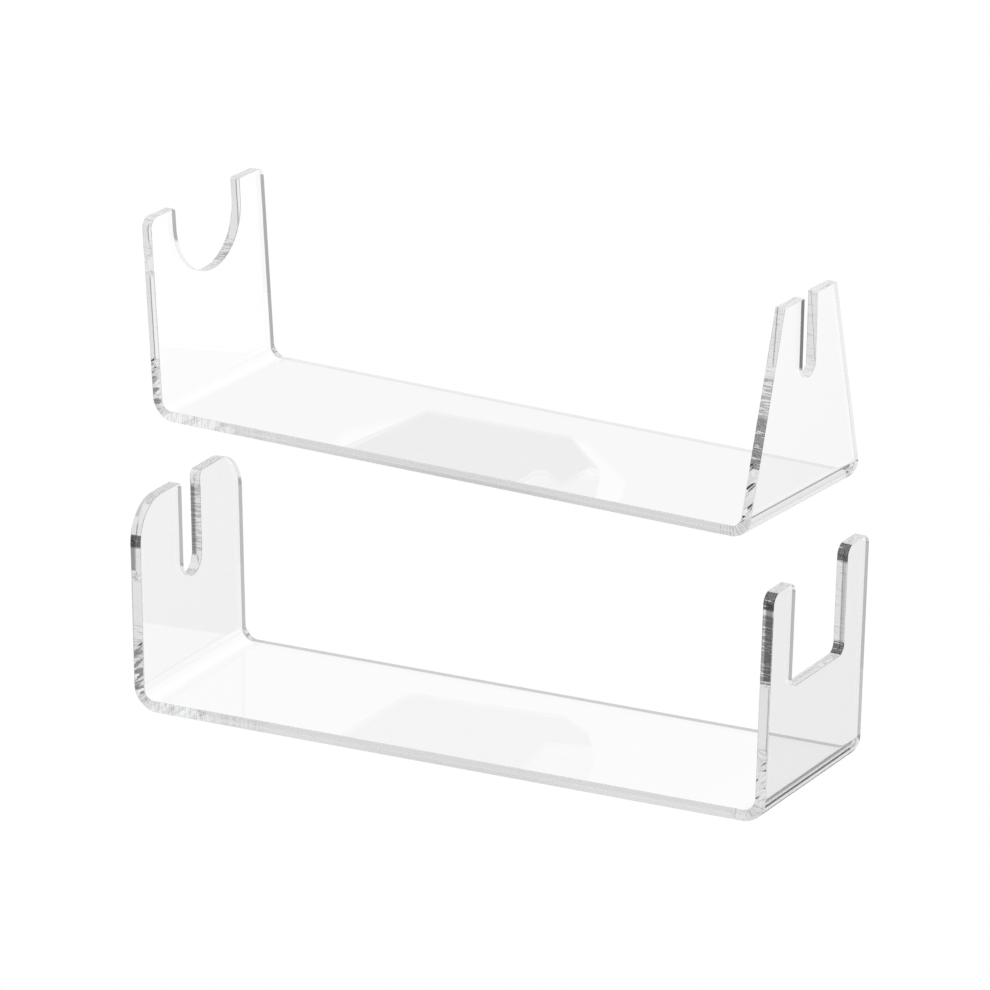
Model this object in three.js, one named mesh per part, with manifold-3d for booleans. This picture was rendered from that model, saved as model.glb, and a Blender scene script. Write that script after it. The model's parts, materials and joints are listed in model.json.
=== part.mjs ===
// A pair of clear acrylic display cradles. Each cradle is one strip of sheet, cut to outline
// and line-bent up at both ends, and the held object rests in the notches of its two uprights.
// Millimetres, +Z up. The origin is on the shelf, at the centre of the pair's footprint.
import * as THREE from "three";
import { mergeVertices } from "three/addons/utils/BufferGeometryUtils.js";
import Module from "manifold-3d";

const wasm = await Module();
wasm.setup();

// The bent sheet, the same for both cradles.
const SHEET_THICKNESS = 3;
const BEND_INNER_RADIUS = 3.5;
const BEND_OUTER_RADIUS = BEND_INNER_RADIUS + SHEET_THICKNESS;

// The base's length and width, where its centre stands, and how far it is turned, in degrees.
const REAR_CRADLE = { length: 190, width: 56, x: -47.26, y: 93.98, turn: -4.1 };
const FRONT_CRADLE = { length: 180, width: 53, x: 54.94, y: -102.42, turn: 0 };

// An upright's height is measured up its outer face, and its lean outwards is in degrees,
// because a hand-made bend seldom closes to a full right angle.

// Rear cradle: a deep round saddle at one end, a tapered upright with a narrow slot at the other.
const SADDLE_UPRIGHT = {
  height: 57,
  lean: 3.4,
  topWidth: REAR_CRADLE.width,
  cornerRadius: 3,
  notch: { width: 31.6, depth: 21.6, floorRadius: 15.8, mouthRadius: 0.8 },
};
const TAPERED_UPRIGHT = {
  height: 61,
  lean: 1.6,
  topWidth: 27,
  cornerRadius: 0.4,
  notch: { width: 6.6, depth: 23, floorRadius: 3.3, mouthRadius: 0.3 },
};

// Front cradle: a round-shouldered upright with a slot at one end, two arms at the other.
const SHOULDERED_UPRIGHT = {
  height: 55,
  lean: 1,
  topWidth: FRONT_CRADLE.width,
  cornerRadius: 11,
  notch: { width: 9.4, depth: 26.6, floorRadius: 4.7, mouthRadius: 1.8 },
};
const FORKED_UPRIGHT = {
  height: 61,
  lean: 2.2,
  topWidth: FRONT_CRADLE.width,
  cornerRadius: 3,
  notch: { width: 28.8, depth: 28.4, floorRadius: 2.5, mouthRadius: 3 },
};

const ARC_STEP = THREE.MathUtils.degToRad(7.5);
const TRIM_MARGIN = 5;
const SAME_POINT = 0.001;
const ACRYLIC_COLOR = 0xeef2f3;
const ACRYLIC_OPACITY = 0.35;

// The points of a closed outline whose corners [x, y, radius] are rounded by arcs.
function roundedOutline(corners) {
  const points = [];
  corners.forEach(([x, y, radius], index) => {
    const corner = new THREE.Vector2(x, y);
    const before = corners.at(index - 1);
    const after = corners[(index + 1) % corners.length];
    const toBefore = new THREE.Vector2(before[0] - x, before[1] - y).normalize();
    const toAfter = new THREE.Vector2(after[0] - x, after[1] - y).normalize();
    const halfAngle = Math.acos(toBefore.dot(toAfter)) / 2;
    const inward = toBefore.clone().add(toAfter).normalize();
    const centre = corner.clone().addScaledVector(inward, radius / Math.sin(halfAngle));
    const start = corner.clone().addScaledVector(toBefore, radius / Math.tan(halfAngle));
    const turn = Math.sign(toBefore.cross(toAfter)) * (2 * halfAngle - Math.PI);
    const steps = radius > 0 ? Math.ceil(Math.abs(turn) / ARC_STEP) : 0;
    for (let step = 0; step <= steps; step += 1) {
      const point = start.clone().rotateAround(centre, steps > 0 ? (turn * step) / steps : 0);
      if (points.length === 0 || points.at(-1).distanceTo(point) > SAME_POINT) {
        points.push(point);
      }
    }
  });
  return points;
}

function extrude(points, depth) {
  return new THREE.ExtrudeGeometry(new THREE.Shape(points), { depth, bevelEnabled: false });
}

function toManifold(geometry) {
  geometry.deleteAttribute("normal");
  geometry.deleteAttribute("uv");
  const merged = mergeVertices(geometry);
  const vertProperties = new Float32Array(merged.attributes.position.array);
  const triVerts = new Uint32Array(merged.index.array);
  return new wasm.Manifold(new wasm.Mesh({ numProp: 3, vertProperties, triVerts }));
}

function toGeometry(manifold) {
  const { vertProperties, triVerts } = manifold.getMesh();
  const geometry = new THREE.BufferGeometry();
  geometry.setAttribute("position", new THREE.BufferAttribute(vertProperties, 3));
  geometry.setIndex(new THREE.BufferAttribute(triVerts, 1));
  geometry.computeVertexNormals();
  return geometry;
}

// Where an upright's outer face, inner face and top meet, seen from the cradle's long edge.
function uprightSection({ height, lean }, side, outer) {
  const angle = THREE.MathUtils.degToRad(lean);
  const foot = new THREE.Vector2(side * outer, 0);
  const up = new THREE.Vector2(side * Math.sin(angle), Math.cos(angle));
  const inward = new THREE.Vector2(-side * Math.cos(angle), Math.sin(angle));
  const outerTop = foot.clone().addScaledVector(up, height);
  const innerTop = outerTop.clone().addScaledVector(inward, SHEET_THICKNESS);
  const innerFoot = foot.clone().addScaledVector(inward, SHEET_THICKNESS);
  innerFoot.addScaledVector(up, (SHEET_THICKNESS - innerFoot.y) / up.y);
  return [
    [foot.x, foot.y, BEND_OUTER_RADIUS],
    [outerTop.x, outerTop.y, 0],
    [innerTop.x, innerTop.y, 0],
    [innerFoot.x, innerFoot.y, BEND_INNER_RADIUS],
  ];
}

// The bent strip seen from its long edge, swept across and left wider than the cradle.
function bentStrip({ length, width }, leftUpright, rightUpright) {
  const right = uprightSection(rightUpright, 1, length / 2);
  const left = uprightSection(leftUpright, -1, length / 2);
  const depth = width + 2 * TRIM_MARGIN;
  const strip = extrude(roundedOutline([...right, ...left.reverse()]), depth);
  strip.rotateX(Math.PI / 2);
  strip.translate(0, depth / 2, 0);
  return toManifold(strip);
}

// The outline of the base and one upright, swept through the sheet over that upright's half.
function outlinePrism({ length, width }, upright, side) {
  const { height, lean, topWidth, cornerRadius, notch } = upright;
  const outer = length / 2;
  const foot = width / 2;
  const top = topWidth / 2;
  const gap = notch.width / 2;
  const floor = height - notch.depth;
  const outline = roundedOutline([
    [-foot, -TRIM_MARGIN, 0],
    [foot, -TRIM_MARGIN, 0],
    [foot, BEND_OUTER_RADIUS, 0],
    [top, height, cornerRadius],
    [gap, height, notch.mouthRadius],
    [gap, floor, notch.floorRadius],
    [-gap, floor, notch.floorRadius],
    [-gap, height, notch.mouthRadius],
    [-top, height, cornerRadius],
    [-foot, BEND_OUTER_RADIUS, 0],
  ]);
  const reach = outer + 2 * TRIM_MARGIN;
  const prism = extrude(outline, reach);
  const alongY = new THREE.Vector3(0, 1, 0);
  const alongZ = new THREE.Vector3(0, 0, 1);
  const alongX = new THREE.Vector3(1, 0, 0);
  prism.applyMatrix4(new THREE.Matrix4().makeBasis(alongY, alongZ, alongX));
  prism.translate(side < 0 ? -TRIM_MARGIN : TRIM_MARGIN - reach, 0, 0);
  prism.rotateY(side * THREE.MathUtils.degToRad(lean));
  prism.translate(side * outer, 0, 0);
  return toManifold(prism);
}

// The base's own outline, swept up through it, long enough to meet both uprights' outlines.
function basePrism({ length, width }) {
  return toManifold(new THREE.BoxGeometry(length - 2 * BEND_OUTER_RADIUS, width, 4 * SHEET_THICKNESS));
}

function cradle(name, base, leftUpright, rightUpright) {
  const strip = bentStrip(base, leftUpright, rightUpright);
  const uprights = outlinePrism(base, leftUpright, -1).add(outlinePrism(base, rightUpright, 1));
  const outlines = uprights.add(basePrism(base));
  const acrylic = new THREE.MeshStandardMaterial({
    color: ACRYLIC_COLOR,
    roughness: 0.05,
    metalness: 0,
    transparent: true,
    opacity: ACRYLIC_OPACITY,
    flatShading: true,
  });
  const mesh = new THREE.Mesh(toGeometry(strip.intersect(outlines)), acrylic);
  mesh.name = name;
  mesh.position.set(base.x, base.y, 0);
  mesh.rotation.z = THREE.MathUtils.degToRad(base.turn);
  return mesh;
}

const cradles = new THREE.Group();
cradles.add(cradle("rear_tapered_cradle", REAR_CRADLE, SADDLE_UPRIGHT, TAPERED_UPRIGHT));
cradles.add(cradle("front_forked_cradle", FRONT_CRADLE, SHOULDERED_UPRIGHT, FORKED_UPRIGHT));

export default cradles;
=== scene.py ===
"""Looks for a pair of clear acrylic display cradles: fine bent-sheet meshes, cut edges, white studio."""

import json
from math import ceil, cos, pi, radians, sin, tan

import bpy
from mathutils import Euler, Matrix, Vector


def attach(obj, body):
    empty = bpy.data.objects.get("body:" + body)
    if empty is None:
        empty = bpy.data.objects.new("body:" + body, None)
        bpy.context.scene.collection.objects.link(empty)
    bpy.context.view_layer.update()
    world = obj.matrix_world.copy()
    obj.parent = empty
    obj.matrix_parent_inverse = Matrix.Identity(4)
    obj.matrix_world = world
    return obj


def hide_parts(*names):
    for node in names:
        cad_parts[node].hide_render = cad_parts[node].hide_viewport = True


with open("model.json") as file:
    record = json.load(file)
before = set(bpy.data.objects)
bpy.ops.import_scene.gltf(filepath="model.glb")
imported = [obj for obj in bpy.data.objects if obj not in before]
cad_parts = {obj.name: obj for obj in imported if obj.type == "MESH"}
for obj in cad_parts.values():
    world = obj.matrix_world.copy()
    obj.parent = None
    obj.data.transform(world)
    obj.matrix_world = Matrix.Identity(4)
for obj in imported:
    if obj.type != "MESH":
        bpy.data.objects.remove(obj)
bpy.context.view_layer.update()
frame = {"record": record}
MOUNTS = {mount["name"]: mount["pos_m"] for mount in frame["record"]["mounts"]}

MM = 0.001

# The sheet, in metres, and how it is bent: the bend's outer radius, the rounding of a cut edge,
# how far a bend's inside swells past the long edge, and how deep in the sheet that turns inward.
SHEET = 0.003
BEND_OUTER = 0.0065
EDGE_ROUND = 0.00022
BEND_BULGE = 0.0006
BULGE_TURNOVER = 0.35

# Each cradle's base: its length, its width and how far it is turned.
REAR = dict(length=0.19, width=0.056, turn=radians(-4.1))
FRONT = dict(length=0.18, width=0.053, turn=0)

# The uprights: height up the outer face, lean outwards, width at the top, corner radius, and the
# notch's width, depth, floor radius and mouth radius.
# skew: how far the front edge and the notch's far wall are shaded as cut off square.
# painted grooves: stretches of the front edge and of the notch's far wall where the edge is grooved,
# the grooves bumped in and painted dark as painted shade, from a height to a height, with how densely
# they are grooved.
SADDLE = dict(
    height=0.057, lean=radians(3.4), top=REAR["width"], corner=0.003,
    width=0.0316, depth=0.0216, floor=0.0158, mouth=0.0008,
    skew=(0, 0),
    painted_dark_grooves=(
        ("front", 0.044, 0.052, 0.4),
        ("notch", 0.035, 0.041, 0.6),
    ),
)
TAPER = dict(
    height=0.061, lean=radians(1.6), top=0.027, corner=0.0004,
    width=0.0066, depth=0.023, floor=0.0033, mouth=0.0004,
    skew=(0, 0),
    painted_dark_grooves=(
        ("front", 0.043, 0.061, 0.35),
        ("front", 0.032, 0.043, 0.7),
        ("front", 0.019, 0.032, 0.9),
        ("notch", 0.04, 0.061, 0.35),
    ),
)
SHOULDER = dict(
    height=0.055, lean=radians(1), top=FRONT["width"], corner=0.011,
    width=0.0094, depth=0.0266, floor=0.0047, mouth=0.0018,
    skew=(0, 0),
    painted_dark_grooves=(
        ("front", 0.044, 0.047, 1),
        ("front", 0.036, 0.044, 0.3),
        ("front", 0.012, 0.024, 0.45),
        ("notch", 0.033, 0.053, 0.6),
    ),
)
FORK = dict(
    height=0.061, lean=radians(2.2), top=FRONT["width"], corner=0.003,
    width=0.0288, depth=0.0284, floor=0.0025, mouth=0.003,
    skew=(radians(5), radians(15)),
    painted_dark_grooves=(
        ("front", 0.037, 0.056, 0.85),
        ("front", 0.057, 0.061, 1),
        ("notch", 0.037, 0.056, 0.35),
        ("notch", 0.057, 0.061, 1),
        ("notch", 0.032, 0.036, 1),
    ),
)

# Only an edge that faces forward is grooved and painted dark as painted shade: one whose outward normal
# has y below this.
FACES_FRONT = -0.3

# The edge is grooved all round a bend, and on the base's long edge this far past it, by the side
# that the bend is on, with the grooves painted dark as painted shade.
BEND_GROOVE_REACH = {-1: 0.014, 1: 0.003}
BEND_GROOVE_DENSITY = 0.45

# Fineness of the mesh.
ARC_STEP = radians(3)
STRETCH_STEP = 0.001
BEND_STEPS = 32
ROUND_STEPS = 4
SAME_POINT = 1e-7

# An upright's outline near its bend: the rounding where a taper starts, the rounding of the
# corners that close it behind the bend, and the gap above the bend.
FOOT_ROUND = 0.0006
BLANK_ROUND = 0.001
FOOT_GAP = 0.0002

# Clear acrylic and its laser-cut edge, whose grooves run across the sheet.
ACRYLIC_IOR = 1.491
SHEET_COLOUR = (0.996, 0.997, 0.997, 1)
SHEET_ROUGHNESS = 0.0
# The cut edge's grey, painted shade that dims the light through it.
EDGE_COLOUR = (0.9, 0.905, 0.91, 1)
SCORED_ROUGHNESS = 0.06
# The long edge's darker grey, painted shade that dims the light through it.
LONG_EDGE_COLOUR = (0.82, 0.825, 0.825, 1)
LONG_EDGE_ROUGHNESS = 0.1

# The grooves: their dark colour, painted shade; the noise's scale along and across the edge, its level
# above which a groove is painted dark where the edge is least and most densely grooved, how soft a
# groove's side is, and its depth.
PAINTED_SHADE_GROOVE_COLOUR = (0.03, 0.03, 0.03, 1)
GROOVES_PER_M = 2400
GROOVE_WANDER_PER_M = 250
GROOVE_DETAIL = 2
GROOVES_SPARSE = 0.75
GROOVES_DENSE = 0.25
GROOVE_SOFTNESS = 0.1
GROOVE_DEPTH = 0.000006

# The studio that mirrored rays see: its grey, and soft cards, each laid over those before it.
# A card is its direction, its reach in degrees, its softness in degrees and its grey.
ROOM_LEVEL = 0.3
CARDS = (
    ((0, 0, 1), 84, 16, 0.82),
    ((0, 0, 1), 62, 10, 1.0),
    ((0, 0, -1), 52, 8, 0.9),
    ((-0.5, 0.78, -0.37), 32, 20, 0.85),
    ((-0.22, 0.81, -0.54), 5, 2, 0.02),
    ((-0.3, 0.8, -0.52), 5, 2, 0.02),
    ((0.73, 0.65, -0.21), 16, 6, 1.0),
    ((0.54, 0.66, -0.54), 9, 5, 0.85),
    ((-0.4, -0.85, -0.3), 25, 15, 0.42),
    ((-0.43, -0.84, -0.335), 5, 3, 0.55),
    ((-0.541, -0.779, -0.316), 2.2, 1.2, 0.15),
)

# A ray may be mirrored this often inside a sheet before it leaves.
BOUNCES = 128

# The floor, and a grey patch under each base that only mirrored rays see, painted shade in the base's
# reflections: how much shorter that is than the base at the right end, and how bright.
FLOOR_SIZE = 12
FLOOR_DROP = 0.0004
REAR_REFLECTED_SHADE = dict(short=0, level=0.88)
FRONT_REFLECTED_SHADE = dict(short=0.022, level=0.55)

# Panes overhead, as the patches that they leave on a base: the outline in millimetres along and
# across the base, and its grey. The first lies over the rest.
SCREEN_HEIGHT = 0.5
SCREEN_GAP = 0.002
REAR_SCREENS = (
    (((-34, -32), (-31, 10), (14, 12), (36, -8), (32, -7), (32, -22), (24, -16), (21, -17),
      (22, -32)), 0.55),
    (((20, -32), (20, -15), (36, -8), (48, -32)), 0.72),
    (((-39, -32), (-45, -9), (-40, 4), (-34, 15), (16, 17), (43, -6), (54, -32)), 0.93),
)
FRONT_SCREENS = (
    (((-31, -32), (-30, 8), (-27, 11), (-22, 10), (13, 13), (24, 5), (30, -4), (18, -6),
      (22, -32)), 0.72),
    (((16, -32), (16, -6), (31, -4), (42, -32)), 0.84),
    (((-95, -40), (-95, 40), (95, 40), (95, -40)), 0.92),
)

# The camera: a long lens from the front right, above. Turns are in degrees.
CAMERA_PLACE = (1.40024, -2.61972, 1.0577)
CAMERA_TURN = 28.118
CAMERA_PITCH = 19.193
CAMERA_ROLL = -0.151
CAMERA_REACH = 50
LENS = 436.4


def rounded(corners):
    """The points of a closed outline with its outward normals, each corner (x, y, radius) an arc."""
    points = []
    for index, (x, y, radius) in enumerate(corners):
        corner = Vector((x, y))
        back = (Vector(corners[index - 1][:2]) - corner).normalized()
        ahead = (Vector(corners[(index + 1) % len(corners)][:2]) - corner).normalized()
        half = back.angle(ahead) / 2
        centre = corner + (back + ahead).normalized() * radius / sin(half)
        start = corner + back * radius / tan(half) - centre
        side = 1 if back.x * ahead.y - back.y * ahead.x < 0 else -1
        turn = side * (pi - 2 * half)
        steps = max(ceil(abs(turn) / ARC_STEP), 1)
        for step in range(steps + 1):
            spoke = Matrix.Rotation(turn * step / steps, 2) @ start
            place = centre + spoke
            if not points or (points[-1][0] - place).length > SAME_POINT:
                points.append((place, spoke.normalized() * side))
    return points


def divided(points):
    """The same outline with points added along its straight stretches."""
    result = points[:1]
    for (before, normal), (after, turned) in zip(points, points[1:]):
        steps = max(ceil((after - before).length / STRETCH_STEP), 1)
        for step in range(1, steps):
            result.append((before.lerp(after, step / steps), normal))
        result.append((after, turned))
    return result


def distances(outline):
    """How far round the blank each point of its outline lies."""
    around = [0]
    for (before, _), (after, _) in zip(outline, outline[1:]):
        around.append(around[-1] + (after - before).length)
    return around


def edge_profile():
    """The rounded cut edge through the sheet: each ring's inset, depth and normal's lift."""
    upper = []
    for step in range(ROUND_STEPS + 1):
        lift = pi / 2 * (1 - step / ROUND_STEPS)
        inset, drop = EDGE_ROUND * (1 - cos(lift)), EDGE_ROUND * (1 - sin(lift))
        upper.append((inset, SHEET - drop, lift))
    return upper + [(inset, SHEET - w, -lift) for inset, w, lift in reversed(upper)]


class Upright:
    """One upright of a bent strip: where its bend starts and ends along the flat blank."""

    def __init__(self, shape, side, outer):
        self.shape = shape
        self.side = side
        self.angle = pi / 2 - shape["lean"]
        tangent = BEND_OUTER * tan(self.angle / 2)
        self.neutral = BEND_OUTER - SHEET / 2
        self.flat = outer - tangent
        self.foot = self.flat + self.neutral * self.angle
        self.raise_by = self.foot - tangent

    def turned(self, reach):
        """The angle by which the sheet is bent at a distance from the blank's middle."""
        return min(max((reach - self.flat) / self.neutral, 0), self.angle)

    def painted_groove_density(self, point, normal):
        """How densely the cut edge is grooved, its grooves painted dark as painted shade, at a point of
        the outline.
        """
        # Round a bend the edge is grooved, its grooves painted dark as painted shade.
        if abs(point.x) < self.foot:
            return BEND_GROOVE_DENSITY
        if normal.y > FACES_FRONT:
            return 0
        height = abs(point.x) - self.raise_by
        part = "front" if point.y < 0 else "notch"
        for where, low, high, density in self.shape["painted_dark_grooves"]:
            if where == part and low <= height <= high:
                return density
        return 0

    def outline(self, half):
        """The upright's edge from foot to foot, round its top, as points and outward normals."""
        shape = self.shape
        top = self.raise_by + shape["height"]
        floor = top - shape["depth"]
        foot = self.foot + FOOT_GAP
        wide, gap = shape["top"] / 2, shape["width"] / 2
        tapers = wide < half
        corners = [(-foot, half, BLANK_ROUND), (-foot, -half, BLANK_ROUND)]
        if tapers:
            corners.append((foot, -half, FOOT_ROUND))
        corners += [(top, -wide, shape["corner"]), (top, -gap, shape["mouth"])]
        corners += [(floor, -gap, shape["floor"]), (floor, gap, shape["floor"])]
        corners += [(top, gap, shape["mouth"]), (top, wide, shape["corner"])]
        if tapers:
            corners.append((foot, half, FOOT_ROUND))
        points = [(point, normal) for point, normal in rounded(corners) if point.x > 0]
        if not tapers:
            feet = [(Vector((foot, face * half)), Vector((0, face))) for face in (-1, 1)]
            points = [feet[0], *points, feet[1]]
        return [(point * self.side, normal * self.side) for point, normal in divided(points)]


class Strip:
    """A flat blank bent up at both ends. u runs along the blank, v across it, w through it."""

    def __init__(self, base, left, right):
        self.half = base["width"] / 2
        self.left = Upright(left, -1, base["length"] / 2)
        self.right = Upright(right, 1, base["length"] / 2)

    def end(self, u):
        """The upright on the side where u lies."""
        return self.right if u > 0 else self.left

    def stations(self):
        """Where the long edges are divided, from the right foot to the left one."""
        bends = []
        for end in (self.right, self.left):
            span = end.flat - end.foot
            bend = [end.side * (end.foot + span * k / BEND_STEPS) for k in range(BEND_STEPS + 1)]
            bends.append(bend + [end.side * (end.flat - BEND_GROOVE_REACH[end.side])])
        return bends[0] + bends[1][::-1]

    def turned(self, u):
        """The bend's angle at u, signed, from 0 on the base to nearly a right angle on an upright."""
        end = self.end(u)
        return end.side * end.turned(abs(u))

    def bulge(self, u, w):
        """How far the long edge swells at a bend, and how fast that changes with w and with u."""
        end = self.end(u)
        phase = pi * end.turned(abs(u)) / end.angle
        share = w / SHEET - BULGE_TURNOVER
        swell = BEND_BULGE * sin(phase) ** 2
        slope = BEND_BULGE * sin(2 * phase) * pi / end.angle / BEND_OUTER
        return swell * share, swell / SHEET, end.side * slope * share

    def place(self, u, v, w):
        """A point of the flat blank, after bending."""
        end = self.end(u)
        angle = end.turned(abs(u))
        if angle == 0:
            return Vector((u, v, w))
        radius = BEND_OUTER - w
        beyond = max(abs(u) - end.foot, 0)
        x = end.flat + radius * sin(angle) + beyond * cos(angle)
        return Vector((end.side * x, v, BEND_OUTER - radius * cos(angle) + beyond * sin(angle)))

    def ring(self, outline, inset, w, lift):
        """One ring of the rounded cut edge: its points, and its normals lifted towards a face."""
        points, normals = [], []
        for flat, outward in outline:
            end = self.end(flat.x)
            reach = abs(flat.x)
            u, v = flat - outward * inset
            angle = self.turned(u)
            along = Vector((cos(angle), 0, sin(angle)))
            inner = Vector((-sin(angle), 0, cos(angle)))
            side = along * outward.x + Vector((0, outward.y, 0))
            if outward.y < 0 and reach > end.foot:
                skew = end.shape["skew"][flat.y > 0]
                side = (side + inner * outward.y * sin(skew)).normalized()
            if end.flat < reach < end.foot:
                swell, through, lengthwise = self.bulge(u, w)
                v += swell if v > 0 else -swell
                side = (side - inner * through - along * lengthwise).normalized()
            points.append(self.place(u, v, w))
            normals.append((side * cos(lift) + inner * sin(lift)).normalized())
        return points, normals

    def outline(self):
        """The whole blank's outline, with the lengths of the right upright's part and the left's."""
        right, left = self.right.outline(self.half), self.left.outline(self.half)
        stations = self.stations()
        back = [(Vector((u, self.half)), Vector((0, 1))) for u in stations]
        front = [(Vector((u, -self.half)), Vector((0, -1))) for u in reversed(stations)]
        return right + back + left + front, len(right), len(left)

    def faces(self, rights, lefts, count, ring_count):
        """The two faces of the sheet, then the cut edge between them, with each face's material."""
        length = len(self.stations())
        first_back, first_front = rights, rights + length + lefts
        back = list(range(first_back, first_back + length))
        front = list(range(count - 1, first_front - 1, -1))
        sheet = [[front[0], *range(rights), back[0]]]
        for j in range(length - 1):
            sheet.append([front[j + 1], front[j], back[j], back[j + 1]])
        sheet.append([back[-1], *range(back[-1] + 1, first_front), front[-1]])
        last = count * (ring_count - 1)
        faces = sheet + [[last + i for i in reversed(face)] for face in sheet]
        slots = [SHEET_SLOT] * len(faces)
        middle = length // 2 - 1
        long_edges = (first_back + middle, first_front + middle)
        for here in range(0, last, count):
            below = here + count
            for i in range(count):
                j = (i + 1) % count
                faces.append([here + i, below + i, below + j, here + j])
                slots.append(LONG_EDGE_SLOT if i in long_edges else EDGE_SLOT)
        return faces, slots

    def mesh(self, name):
        """The bent sheet as one closed mesh with exact normals, and a UV map of the distance round the
        flat blank's outline and the depth through the sheet.
        """
        outline, rights, lefts = self.outline()
        count = len(outline)
        rings = edge_profile()
        points, normals = [], []
        for inset, w, lift in rings:
            ring_points, ring_normals = self.ring(outline, inset, w, lift)
            points += ring_points
            normals += ring_normals
        faces, slots = self.faces(rights, lefts, count, len(rings))
        mesh = bpy.data.meshes.new(name)
        mesh.from_pydata(points, [], faces)
        # How densely each point's edge is grooved, which sets how much of it is painted dark as painted
        # shade.
        painted_grooves = [self.end(point.x).painted_groove_density(point, normal) for point, normal in outline]
        density = mesh.attributes.new("painted_grooves", "FLOAT", "POINT")
        density.data.foreach_set("value", painted_grooves * len(rings))
        around = distances(outline)
        uv = mesh.uv_layers.new(name="edge")
        for loop in mesh.loops:
            ring, index = divmod(loop.vertex_index, count)
            uv.data[loop.index].uv = (around[index], rings[ring][1])
        for polygon, slot in zip(mesh.polygons, slots):
            polygon.use_smooth = True
            polygon.material_index = slot
        mesh.normals_split_custom_set_from_vertices(normals)
        return mesh


def node_material(name):
    """A node material, with its nodes and links."""
    material = bpy.data.materials.new(name)
    material.use_nodes = True
    return material, material.node_tree.nodes, material.node_tree.links


def clear_acrylic(name):
    """A clear acrylic material, with its nodes, links and Principled shader."""
    material, nodes, links = node_material(name)
    shader = nodes["Principled BSDF"]
    shader.inputs["IOR"].default_value = ACRYLIC_IOR
    shader.inputs["Transmission Weight"].default_value = 1.0
    return material, nodes, links, shader


def plain_acrylic(name, colour, roughness):
    """Clear acrylic of one colour and one roughness."""
    material, _, _, shader = clear_acrylic(name)
    shader.inputs["Base Color"].default_value = colour
    shader.inputs["Roughness"].default_value = roughness
    return material


def groove_noise(nodes, links):
    """Noise drawn out across the thickness of the sheet, as a laser scores a cut edge."""
    uv = nodes.new("ShaderNodeUVMap")
    uv.uv_map = "edge"
    stretch = nodes.new("ShaderNodeMapping")
    stretch.inputs["Scale"].default_value = (GROOVES_PER_M, GROOVE_WANDER_PER_M, 1)
    links.new(uv.outputs["UV"], stretch.inputs["Vector"])
    noise = nodes.new("ShaderNodeTexNoise")
    noise.noise_dimensions = "2D"
    noise.inputs["Scale"].default_value = 1.0
    noise.inputs["Detail"].default_value = GROOVE_DETAIL
    links.new(stretch.outputs["Vector"], noise.inputs["Vector"])
    return noise.outputs["Fac"]


def painted_shade_groove_colour(nodes, links, grooves, density):
    """Grooves painted dark as painted shade, more of them where the edge is more densely grooved, on the
    edge's grey.
    """
    start = nodes.new("ShaderNodeMapRange")
    start.inputs["To Min"].default_value = GROOVES_SPARSE
    start.inputs["To Max"].default_value = GROOVES_DENSE
    links.new(density, start.inputs["Value"])
    stop = nodes.new("ShaderNodeMath")
    stop.inputs[1].default_value = GROOVE_SOFTNESS
    links.new(start.outputs[0], stop.inputs[0])
    dark = nodes.new("ShaderNodeMapRange")
    links.new(grooves, dark.inputs["Value"])
    links.new(density, dark.inputs["To Max"])
    links.new(start.outputs[0], dark.inputs["From Min"])
    links.new(stop.outputs[0], dark.inputs["From Max"])
    colour = nodes.new("ShaderNodeMix")
    colour.data_type = "RGBA"
    colour.inputs["A"].default_value = EDGE_COLOUR
    colour.inputs["B"].default_value = PAINTED_SHADE_GROOVE_COLOUR
    links.new(dark.outputs[0], colour.inputs["Factor"])
    return colour.outputs["Result"]


def edge_material():
    """An upright's laser-cut edge: clear, with grooves across its thickness where it is grooved, bumped
    in, rougher and painted dark as painted shade.
    """
    material, nodes, links, shader = clear_acrylic("cut_edge")
    grooves = groove_noise(nodes, links)
    # The groove density sets the bump, the roughness and how much of the edge is painted dark as painted
    # shade.
    painted_grooves = nodes.new("ShaderNodeAttribute")
    painted_grooves.attribute_name = "painted_grooves"
    density = painted_grooves.outputs["Fac"]
    rough = nodes.new("ShaderNodeMath")
    rough.operation = "MULTIPLY"
    rough.inputs[1].default_value = SCORED_ROUGHNESS
    links.new(density, rough.inputs[0])
    links.new(rough.outputs[0], shader.inputs["Roughness"])
    links.new(painted_shade_groove_colour(nodes, links, grooves, density), shader.inputs["Base Color"])
    bump = nodes.new("ShaderNodeBump")
    bump.inputs["Distance"].default_value = GROOVE_DEPTH
    links.new(density, bump.inputs["Strength"])
    links.new(grooves, bump.inputs["Height"])
    links.new(bump.outputs["Normal"], shader.inputs["Normal"])
    return material


# The materials of a bent sheet, and the slot that each is in.
MATERIALS = (
    plain_acrylic("clear_acrylic", SHEET_COLOUR, SHEET_ROUGHNESS),
    edge_material(),
    plain_acrylic("long_edge", LONG_EDGE_COLOUR, LONG_EDGE_ROUGHNESS),
)
SHEET_SLOT, EDGE_SLOT, LONG_EDGE_SLOT = range(len(MATERIALS))


def build_cradle(node, body, mount, base, left, right):
    """One cradle's fine mesh, in place of its CAD node, standing where its underside mount is."""
    strip = Strip(base, left, right)
    piece = bpy.data.objects.new(node.replace("_cradle", "_sheet"), strip.mesh(node))
    piece.location = MOUNTS[mount]
    piece.rotation_euler.z = base["turn"]
    bpy.context.scene.collection.objects.link(piece)
    for material in MATERIALS:
        piece.data.materials.append(material)
    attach(piece, body)
    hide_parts(node)


def emission(nodes, level):
    """A shader that shines with one grey."""
    light = nodes.new("ShaderNodeEmission")
    light.inputs["Strength"].default_value = level
    return light.outputs[0]


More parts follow.
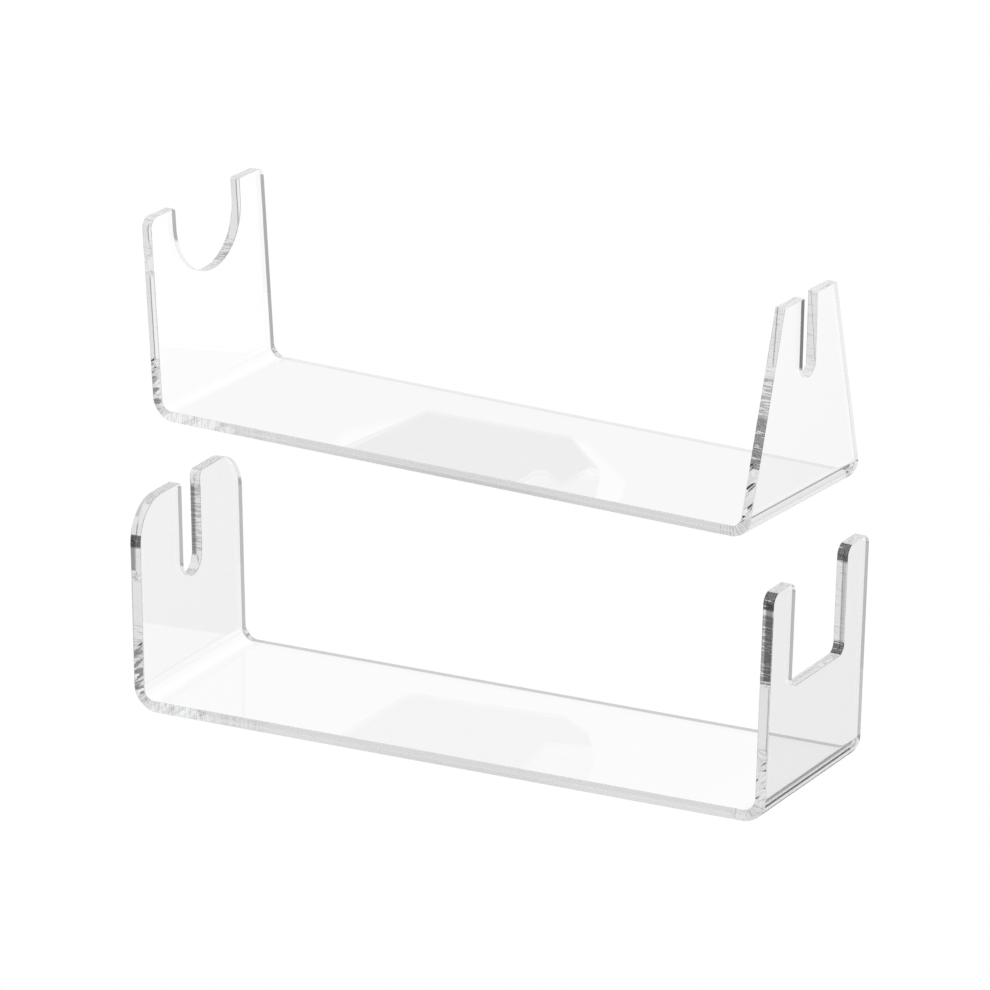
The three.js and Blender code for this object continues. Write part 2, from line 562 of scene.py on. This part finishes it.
def by_mirroring(nodes, links, straight, other):
    """One shader for what is seen directly or through the sheet, and the other for what is mirrored."""
    path = nodes.new("ShaderNodeLightPath")
    mirrored = nodes.new("ShaderNodeMath")
    mirrored.operation = "GREATER_THAN"
    mirrored.inputs[1].default_value = 0
    links.new(path.outputs["Glossy Depth"], mirrored.inputs[0])
    mix = nodes.new("ShaderNodeMixShader")
    links.new(mirrored.outputs[0], mix.inputs[0])
    links.new(straight, mix.inputs[1])
    links.new(other, mix.inputs[2])
    return mix.outputs[0]


def white_where_seen(nodes, links, other):
    """Plain white for what is seen directly or through the sheet, and other for what is mirrored."""
    return by_mirroring(nodes, links, emission(nodes, 1), other)


def build_stage_piece(name, corners, surface_of):
    """A flat piece of the stage, with the shader that surface_of makes."""
    mesh = bpy.data.meshes.new(name)
    mesh.from_pydata(corners, [], [list(range(len(corners)))])
    piece = bpy.data.objects.new(name, mesh)
    bpy.context.scene.collection.objects.link(piece)
    material, nodes, links = node_material(name)
    nodes.remove(nodes["Principled BSDF"])
    links.new(surface_of(nodes, links), nodes["Material Output"].inputs["Surface"])
    mesh.materials.append(material)
    return piece


def rectangle(length, width):
    """The corners of a level rectangle around the origin."""
    x, y = length / 2, width / 2
    return [(-x, -y, 0), (x, -y, 0), (x, y, 0), (-x, y, 0)]


def build_floor():
    """A plain white floor, which mirrored rays pass through to the studio around it."""
    def surface(nodes, links):
        clear = nodes.new("ShaderNodeBsdfTransparent")
        return white_where_seen(nodes, links, clear.outputs[0])
    floor = build_stage_piece("floor", rectangle(FLOOR_SIZE, FLOOR_SIZE), surface)
    floor.location.z = -FLOOR_DROP


def build_reflected_shade(mount, base, reflected_shade):
    """A grey patch close under a cradle's base that only mirrored rays see: painted shade in its
    reflections.
    """
    def surface(nodes, links):
        return white_where_seen(nodes, links, emission(nodes, reflected_shade["level"]))
    corners = rectangle(base["length"] - reflected_shade["short"], base["width"])
    shift = Matrix.Rotation(base["turn"], 3, "Z") @ Vector((-reflected_shade["short"] / 2, 0, 0))
    piece = build_stage_piece("glow_" + mount, corners, surface)
    piece.location = Vector(MOUNTS[mount]) + shift
    piece.location.z = -FLOOR_DROP / 2
    piece.rotation_euler.z = base["turn"]


def mirrored_in_base(mount, base, point, height):
    """Where the camera's sight line, mirrored at a point of a base's upper face, gets to a height."""
    x, y, _ = MOUNTS[mount]
    spot = Vector((point[0] * MM, point[1] * MM, SHEET))
    spot = Matrix.Rotation(base["turn"], 3, "Z") @ spot + Vector((x, y, 0))
    eye = Vector(CAMERA_PLACE)
    eye.z = 2 * SHEET - eye.z
    return eye + (spot - eye) * (height - eye.z) / (spot.z - eye.z)


def build_screens(name, mount, base, screens):
    """Lit or shaded panes overhead, each shaped as the patch that it leaves on a base."""
    for step, (outline, level) in enumerate(screens):
        def surface(nodes, links, level=level):
            clear = nodes.new("ShaderNodeBsdfTransparent")
            return by_mirroring(nodes, links, clear.outputs[0], emission(nodes, level))
        rise = Vector((0, 0, step * SCREEN_GAP))
        corners = [mirrored_in_base(mount, base, point, SCREEN_HEIGHT) + rise for point in outline]
        build_stage_piece("%s_screen_%d" % (name, step), corners, surface)


def grey(level):
    return (level, level, level, 1)


def add_card(nodes, links, before, card):
    """A soft-edged card of one grey around a direction, over what was there before."""
    direction, reach, softness, level = card
    place = nodes.new("ShaderNodeTexCoord")
    facing = nodes.new("ShaderNodeVectorMath")
    facing.operation = "DOT_PRODUCT"
    facing.inputs[1].default_value = Vector(direction).normalized()
    links.new(place.outputs["Generated"], facing.inputs[0])
    inside = nodes.new("ShaderNodeMapRange")
    inside.interpolation_type = "SMOOTHSTEP"
    inside.inputs["From Min"].default_value = cos(radians(reach + softness / 2))
    inside.inputs["From Max"].default_value = cos(radians(reach - softness / 2))
    links.new(facing.outputs["Value"], inside.inputs["Value"])
    mix = nodes.new("ShaderNodeMix")
    mix.data_type = "RGBA"
    mix.inputs["A"].default_value = grey(ROOM_LEVEL)
    mix.inputs["B"].default_value = grey(level)
    links.new(inside.outputs[0], mix.inputs["Factor"])
    if before:
        links.new(before, mix.inputs["A"])
    return mix.outputs["Result"]


def build_world():
    """The studio: a grey room with soft cards, white where it is seen directly."""
    world = bpy.data.worlds.new("studio")
    bpy.context.scene.world = world
    world.use_nodes = True
    nodes, links = world.node_tree.nodes, world.node_tree.links
    nodes.clear()
    colour = None
    for card in CARDS:
        colour = add_card(nodes, links, colour, card)
    studio = nodes.new("ShaderNodeEmission")
    links.new(colour, studio.inputs["Color"])
    out = nodes.new("ShaderNodeOutputWorld")
    links.new(white_where_seen(nodes, links, studio.outputs[0]), out.inputs["Surface"])


def build_camera():
    """The camera, which sees the pair of cradles from the front right."""
    camera = bpy.data.objects.new("camera", bpy.data.cameras.new("camera"))
    bpy.context.scene.collection.objects.link(camera)
    camera.data.lens = LENS
    camera.data.clip_end = CAMERA_REACH
    camera.location = CAMERA_PLACE
    aim = Euler((radians(90 - CAMERA_PITCH), 0, radians(CAMERA_TURN))).to_matrix()
    camera.rotation_euler = (aim @ Matrix.Rotation(radians(CAMERA_ROLL), 3, "Z")).to_euler()
    bpy.context.scene.camera = camera


scene = bpy.context.scene
scene.view_settings.view_transform = "Standard"
scene.cycles.max_bounces = BOUNCES
scene.cycles.glossy_bounces = BOUNCES
scene.cycles.transmission_bounces = BOUNCES

build_camera()
build_cradle("rear_tapered_cradle", "rear_cradle", "rear_cradle_underside", REAR, SADDLE, TAPER)
build_cradle("front_forked_cradle", "front_cradle", "front_cradle_underside", FRONT, SHOULDER, FORK)
build_floor()
# Painted shade under each base, seen only in its reflections.
build_reflected_shade("rear_cradle_underside", REAR, REAR_REFLECTED_SHADE)
build_reflected_shade("front_cradle_underside", FRONT, FRONT_REFLECTED_SHADE)
build_screens("rear", "rear_cradle_underside", REAR, REAR_SCREENS)
build_screens("front", "front_cradle_underside", FRONT, FRONT_SCREENS)
build_world()
